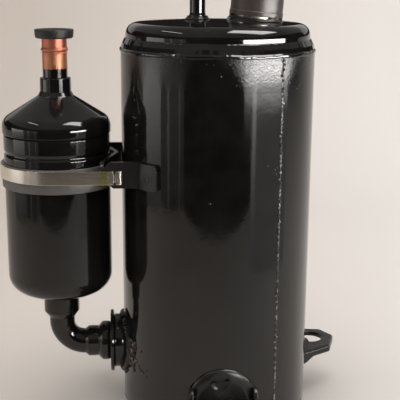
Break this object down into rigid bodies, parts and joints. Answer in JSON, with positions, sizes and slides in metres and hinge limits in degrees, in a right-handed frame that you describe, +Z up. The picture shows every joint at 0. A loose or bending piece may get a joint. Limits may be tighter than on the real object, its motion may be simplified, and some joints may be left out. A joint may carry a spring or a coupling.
{
  "type": "refrigeration rotary compressor",
  "caption": "Hermetic rotary compressor: welded upright shell with side suction accumulator, feet, discharge stub, covered terminal, motor and rolling-piston pump.",
  "frame": {"origin": "shell axis at the underside of the bottom cap, where the compressor stands", "axes": "+Z up along the shell and crankshaft axis; +X towards the terminal side, away from the accumulator"},
  "size_m": [0.2161, 0.1678, 0.2905],
  "materials": {
    "black_paint": "gloss",
    "plated_steel": "satin",
    "pin_steel": "satin",
    "glass_bead": "gloss",
    "rubber": "matte",
    "cover_plastic": "satin",
    "core_steel": "matte",
    "winding_copper": "satin",
    "connector_plastic": "matte",
    "lead_insulation": "satin",
    "cast_aluminium": "matte",
    "brass": "satin",
    "ground_steel": "satin",
    "spring_steel": "satin",
    "cast_iron": "matte",
    "pressed_steel": "satin",
    "copper_tube": "satin",
    "stainless_strap": "satin"
  },
  "bodies": {
    "housing": {"shell_tube": "black_paint", "top_cap": "black_paint", "bottom_cap": "black_paint", "top_cap_weld": "black_paint", "bottom_cap_weld": "black_paint", "seam_weld": "black_paint", "foot_front": "black_paint", "foot_right": "black_paint", "foot_left": "black_paint", "discharge_tube": "black_paint", "discharge_ferrule": "black_paint", "terminal_body": "plated_steel", "terminal_beads": "glass_bead", "terminal_pins": "pin_steel", "terminal_fence": "plated_steel", "terminal_gasket": "rubber", "stator_core": "core_steel", "stator_winding": "winding_copper", "cluster_block": "connector_plastic", "lead_wires": "lead_insulation", "main_bearing": "cast_iron", "cylinder_block": "cast_iron", "sub_bearing": "cast_iron", "vane_spring": "spring_steel", "reed_root": "spring_steel", "reed_stop": "spring_steel", "reed_rivet": "ground_steel", "muffler": "pressed_steel", "main_bearing_bolts": "ground_steel", "sub_bearing_bolts": "ground_steel", "suction_boss": "black_paint", "boss_weld": "black_paint", "suction_liner": "pressed_steel", "elbow_pipe": "black_paint", "elbow_sleeve": "black_paint", "outlet_sleeve": "black_paint", "accumulator_body": "black_paint", "accumulator_cap": "black_paint", "inlet_tube": "copper_tube", "inlet_screen": "pressed_steel", "screen_holder": "pressed_steel", "standpipe": "pressed_steel", "accumulator_bracket": "black_paint", "bracket_welds": "black_paint", "clamp_strap": "stainless_strap", "strap_liner": "rubber"},
    "crank": {"rotor_core": "core_steel", "rotor_cage": "cast_aluminium", "upper_balance_weight": "brass", "lower_balance_weight": "brass", "rotor_rivets": "ground_steel", "crankshaft": "ground_steel", "oil_paddle": "ground_steel"},
    "roller": {"roller": "ground_steel"},
    "vane": {"vane": "ground_steel"},
    "reed": {"discharge_reed": "spring_steel"},
    "inlet_cap": {"inlet_plug": "rubber"},
    "discharge_cap": {"discharge_plug": "rubber"},
    "cover": {"terminal_cover": "cover_plastic"}
  },
  "joints": [
    {"name": "crank_spin", "type": "hinge", "parent": "housing", "child": "crank", "pos_m": [0, 0, 0.1], "axis": [0, 0, 1], "continuous": true},
    {"name": "roller_spin", "type": "hinge", "parent": "crank", "child": "roller", "pos_m": [-0.00408, 0.0019, 0.052], "axis": [0, 0, 1], "continuous": true},
    {"name": "vane_slide", "type": "slide", "parent": "housing", "child": "vane", "axis": [-0.9063, 0.4226, 0], "range_m": [0, 0.001], "stiffness_N_per_m": 400, "deforming": ["vane_spring"]},
    {"name": "reed_lift", "type": "hinge", "parent": "housing", "child": "reed", "pos_m": [-0.00179, 0.03107, 0.076], "axis": [-0.7314, 0.682, 0], "range_deg": [0, 4], "stiffness_Nm_per_rad": 0.05},
    {"name": "inlet_plug_pull", "type": "slide", "parent": "housing", "child": "inlet_cap", "axis": [0, 0, 1], "range_m": [0, 0.015]},
    {"name": "discharge_plug_pull", "type": "slide", "parent": "housing", "child": "discharge_cap", "axis": [0, 0, 1], "range_m": [0, 0.012]},
    {"name": "cover_lift", "type": "slide", "parent": "housing", "child": "cover", "axis": [0.0872, 0, 0.9962], "range_m": [0, 0.035]}
  ],
  "couplings": [
    {"joint": "roller_spin", "follows": "crank_spin", "ratio": -1}
  ]
}
